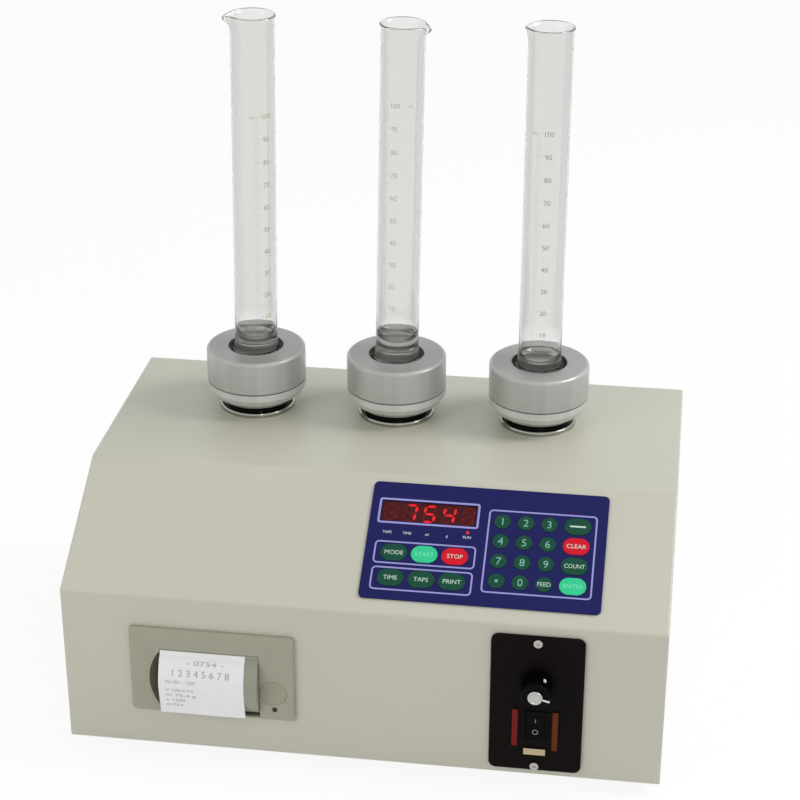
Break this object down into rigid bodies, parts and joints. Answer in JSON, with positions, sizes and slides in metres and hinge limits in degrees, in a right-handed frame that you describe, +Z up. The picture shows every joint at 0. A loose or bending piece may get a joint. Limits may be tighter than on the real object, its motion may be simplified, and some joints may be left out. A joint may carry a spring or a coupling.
{
  "type": "tap density tester",
  "caption": "Benchtop density meter: wedge-fronted case with glass measuring cylinders in clamp rings that cams lift and drop, keypad, printer and speed knob.",
  "frame": {"origin": "on the bench under the middle of the outline", "axes": "+Z up, +Y to the rear, +X to the operator's right"},
  "size_m": [0.4, 0.274, 0.4646],
  "materials": {
    "housing_paint": "warm grey paint, fine texture, semi-matt",
    "tray_steel": "zinc-plated sheet",
    "rubber_black": "matt",
    "flange_chrome": "polished",
    "pad_black": "matt",
    "frame_aluminium": "milled",
    "bush_bronze": "sintered bronze",
    "shaft_steel": "ground steel",
    "motor_grey": "dark grey paint",
    "sensor_black": "moulded",
    "platform_aluminium": "turned",
    "rod_steel": "hardened and polished",
    "ring_aluminium": "turned, satin",
    "clear_glass": "clear borosilicate glass",
    "overlay_blue": "printed film, satin",
    "window_red": "dark red filter",
    "board_green": "circuit board",
    "controller_black": "moulded, fine texture",
    "knob_black": "moulded, bright cap",
    "rocker_black": "moulded",
    "bezel_grey": "moulded, fine texture",
    "door_grey": "moulded, fine texture",
    "paper_white": "thermal paper",
    "printer_black": "moulded",
    "button_grey": "moulded",
    "inlet_black": "moulded",
    "screw_steel": "nickel-plated",
    "key_dark_green": "embossed film",
    "key_bright_green": "embossed film",
    "key_red": "embossed film"
  },
  "bodies": {
    "housing": {"housing_cover": "housing_paint", "base_tray": "tray_steel", "rear_panel": "housing_paint", "rubber_feet": "rubber_black", "guide_flanges": "flange_chrome", "anvil_pads": "pad_black", "mechanism_frame": "frame_aluminium", "shaft_bearings": "bush_bronze", "gear_motor": "motor_grey", "tap_sensor": "sensor_black", "control_overlay": "overlay_blue", "display_window": "window_red", "control_board": "board_green", "controller_plate": "controller_black", "controller_body": "controller_black", "printer_bezel": "bezel_grey", "print_mechanism": "printer_black", "mains_inlet": "inlet_black", "panel_screws": "screw_steel"},
    "camshaft": {"camshaft": "shaft_steel"},
    "platform_left": {"holder_base_left": "platform_aluminium", "tappet_rod_left": "rod_steel"},
    "glass_left": {"measuring_cylinder_left": "clear_glass"},
    "ring_left": {"clamp_ring_left": "ring_aluminium"},
    "platform_middle": {"holder_base_middle": "platform_aluminium", "tappet_rod_middle": "rod_steel"},
    "glass_middle": {"measuring_cylinder_middle": "clear_glass"},
    "ring_middle": {"clamp_ring_middle": "ring_aluminium"},
    "platform_right": {"holder_base_right": "platform_aluminium", "tappet_rod_right": "rod_steel"},
    "glass_right": {"measuring_cylinder_right": "clear_glass"},
    "ring_right": {"clamp_ring_right": "ring_aluminium"},
    "knob": {"speed_knob": "knob_black"},
    "rocker": {"power_rocker": "rocker_black"},
    "door": {"printer_door": "door_grey", "paper_strip": "paper_white"},
    "roll": {"paper_roll": "paper_white"},
    "button": {"feed_button": "button_grey"},
    "key_mode": {"key_mode": "key_dark_green"},
    "key_start": {"key_start": "key_bright_green"},
    "key_stop": {"key_stop": "key_red"},
    "key_time": {"key_time": "key_dark_green"},
    "key_taps": {"key_taps": "key_dark_green"},
    "key_print": {"key_print": "key_dark_green"},
    "key_1": {"key_1": "key_dark_green"},
    "key_2": {"key_2": "key_dark_green"},
    "key_3": {"key_3": "key_dark_green"},
    "key_minus": {"key_minus": "key_dark_green"},
    "key_4": {"key_4": "key_dark_green"},
    "key_5": {"key_5": "key_dark_green"},
    "key_6": {"key_6": "key_dark_green"},
    "key_clear": {"key_clear": "key_red"},
    "key_7": {"key_7": "key_dark_green"},
    "key_8": {"key_8": "key_dark_green"},
    "key_9": {"key_9": "key_dark_green"},
    "key_count": {"key_count": "key_dark_green"},
    "key_point": {"key_point": "key_dark_green"},
    "key_0": {"key_0": "key_dark_green"},
    "key_paper": {"key_paper": "key_dark_green"},
    "key_enter": {"key_enter": "key_bright_green"}
  },
  "joints": [
    {"name": "camshaft_spin", "type": "hinge", "parent": "housing", "child": "camshaft", "pos_m": [0, 0.0699, 0.085], "axis": [1, 0, 0], "range_deg": [0, 300]},
    {"name": "tap_left_lift", "type": "slide", "parent": "housing", "child": "platform_left", "axis": [0, 0, 1], "range_m": [0, 0.003]},
    {"name": "tap_middle_lift", "type": "slide", "parent": "housing", "child": "platform_middle", "axis": [0, 0, 1], "range_m": [0, 0.003]},
    {"name": "tap_right_lift", "type": "slide", "parent": "housing", "child": "platform_right", "axis": [0, 0, 1], "range_m": [0, 0.003]},
    {"name": "cylinder_left_pull", "type": "slide", "parent": "platform_left", "child": "glass_left", "axis": [0, 0, 1], "range_m": [0, 0.03]},
    {"name": "cylinder_middle_pull", "type": "slide", "parent": "platform_middle", "child": "glass_middle", "axis": [0, 0, 1], "range_m": [0, 0.03]},
    {"name": "cylinder_right_pull", "type": "slide", "parent": "platform_right", "child": "glass_right", "axis": [0, 0, 1], "range_m": [0, 0.03]},
    {"name": "ring_left_turn", "type": "hinge", "parent": "glass_left", "child": "ring_left", "pos_m": [-0.104, 0.0699, 0.2001], "axis": [0, 0, 1], "range_deg": [0, 360]},
    {"name": "ring_middle_turn", "type": "hinge", "parent": "glass_middle", "child": "ring_middle", "pos_m": [-0.0027, 0.0699, 0.2001], "axis": [0, 0, 1], "range_deg": [0, 360]},
    {"name": "ring_right_turn", "type": "hinge", "parent": "glass_right", "child": "ring_right", "pos_m": [0.0986, 0.0699, 0.2001], "axis": [0, 0, 1], "range_deg": [0, 360]},
    {"name": "door_swing", "type": "hinge", "parent": "housing", "child": "door", "pos_m": [-0.10005, -0.121, 0.08485], "axis": [-1, 0, 0], "range_deg": [0, 80]},
    {"name": "feed_button_press", "type": "slide", "parent": "housing", "child": "button", "axis": [0, 1, 0], "range_m": [0, 0.001], "stiffness_N_per_m": 400},
    {"name": "knob_turn", "type": "hinge", "parent": "housing", "child": "knob", "pos_m": [0.117, -0.122, 0.0815], "axis": [0, -1, 0], "range_deg": [0, 270]},
    {"name": "power_rocker_tilt", "type": "hinge", "parent": "housing", "child": "rocker", "pos_m": [0.117, -0.1195, 0.05], "axis": [1, 0, 0], "range_deg": [0, 18]},
    {"name": "roll_spin", "type": "hinge", "parent": "housing", "child": "roll", "pos_m": [-0.1048, -0.0935, 0.06325], "axis": [1, 0, 0], "continuous": true},
    {"name": "press_key_mode", "type": "slide", "parent": "housing", "child": "key_mode", "axis": [0, 0.5, -0.866], "range_m": [0, 0.0004], "stiffness_N_per_m": 600},
    {"name": "press_key_start", "type": "slide", "parent": "housing", "child": "key_start", "axis": [0, 0.5, -0.866], "range_m": [0, 0.0004], "stiffness_N_per_m": 600},
    {"name": "press_key_stop", "type": "slide", "parent": "housing", "child": "key_stop", "axis": [0, 0.5, -0.866], "range_m": [0, 0.0004], "stiffness_N_per_m": 600},
    {"name": "press_key_time", "type": "slide", "parent": "housing", "child": "key_time", "axis": [0, 0.5, -0.866], "range_m": [0, 0.0004], "stiffness_N_per_m": 600},
    {"name": "press_key_taps", "type": "slide", "parent": "housing", "child": "key_taps", "axis": [0, 0.5, -0.866], "range_m": [0, 0.0004], "stiffness_N_per_m": 600},
    {"name": "press_key_print", "type": "slide", "parent": "housing", "child": "key_print", "axis": [0, 0.5, -0.866], "range_m": [0, 0.0004], "stiffness_N_per_m": 600},
    {"name": "press_key_1", "type": "slide", "parent": "housing", "child": "key_1", "axis": [0, 0.5, -0.866], "range_m": [0, 0.0004], "stiffness_N_per_m": 600},
    {"name": "press_key_2", "type": "slide", "parent": "housing", "child": "key_2", "axis": [0, 0.5, -0.866], "range_m": [0, 0.0004], "stiffness_N_per_m": 600},
    {"name": "press_key_3", "type": "slide", "parent": "housing", "child": "key_3", "axis": [0, 0.5, -0.866], "range_m": [0, 0.0004], "stiffness_N_per_m": 600},
    {"name": "press_key_minus", "type": "slide", "parent": "housing", "child": "key_minus", "axis": [0, 0.5, -0.866], "range_m": [0, 0.0004], "stiffness_N_per_m": 600},
    {"name": "press_key_4", "type": "slide", "parent": "housing", "child": "key_4", "axis": [0, 0.5, -0.866], "range_m": [0, 0.0004], "stiffness_N_per_m": 600},
    {"name": "press_key_5", "type": "slide", "parent": "housing", "child": "key_5", "axis": [0, 0.5, -0.866], "range_m": [0, 0.0004], "stiffness_N_per_m": 600},
    {"name": "press_key_6", "type": "slide", "parent": "housing", "child": "key_6", "axis": [0, 0.5, -0.866], "range_m": [0, 0.0004], "stiffness_N_per_m": 600},
    {"name": "press_key_clear", "type": "slide", "parent": "housing", "child": "key_clear", "axis": [0, 0.5, -0.866], "range_m": [0, 0.0004], "stiffness_N_per_m": 600},
    {"name": "press_key_7", "type": "slide", "parent": "housing", "child": "key_7", "axis": [0, 0.5, -0.866], "range_m": [0, 0.0004], "stiffness_N_per_m": 600},
    {"name": "press_key_8", "type": "slide", "parent": "housing", "child": "key_8", "axis": [0, 0.5, -0.866], "range_m": [0, 0.0004], "stiffness_N_per_m": 600},
    {"name": "press_key_9", "type": "slide", "parent": "housing", "child": "key_9", "axis": [0, 0.5, -0.866], "range_m": [0, 0.0004], "stiffness_N_per_m": 600},
    {"name": "press_key_count", "type": "slide", "parent": "housing", "child": "key_count", "axis": [0, 0.5, -0.866], "range_m": [0, 0.0004], "stiffness_N_per_m": 600},
    {"name": "press_key_point", "type": "slide", "parent": "housing", "child": "key_point", "axis": [0, 0.5, -0.866], "range_m": [0, 0.0004], "stiffness_N_per_m": 600},
    {"name": "press_key_0", "type": "slide", "parent": "housing", "child": "key_0", "axis": [0, 0.5, -0.866], "range_m": [0, 0.0004], "stiffness_N_per_m": 600},
    {"name": "press_key_paper", "type": "slide", "parent": "housing", "child": "key_paper", "axis": [0, 0.5, -0.866], "range_m": [0, 0.0004], "stiffness_N_per_m": 600},
    {"name": "press_key_enter", "type": "slide", "parent": "housing", "child": "key_enter", "axis": [0, 0.5, -0.866], "range_m": [0, 0.0004], "stiffness_N_per_m": 600}
  ],
  "couplings": [
    {"joint": "tap_left_lift", "follows": "camshaft_spin", "m_per_rad": 0.00057295},
    {"joint": "tap_middle_lift", "follows": "camshaft_spin", "m_per_rad": 0.00057295},
    {"joint": "tap_right_lift", "follows": "camshaft_spin", "m_per_rad": 0.00057295}
  ]
}
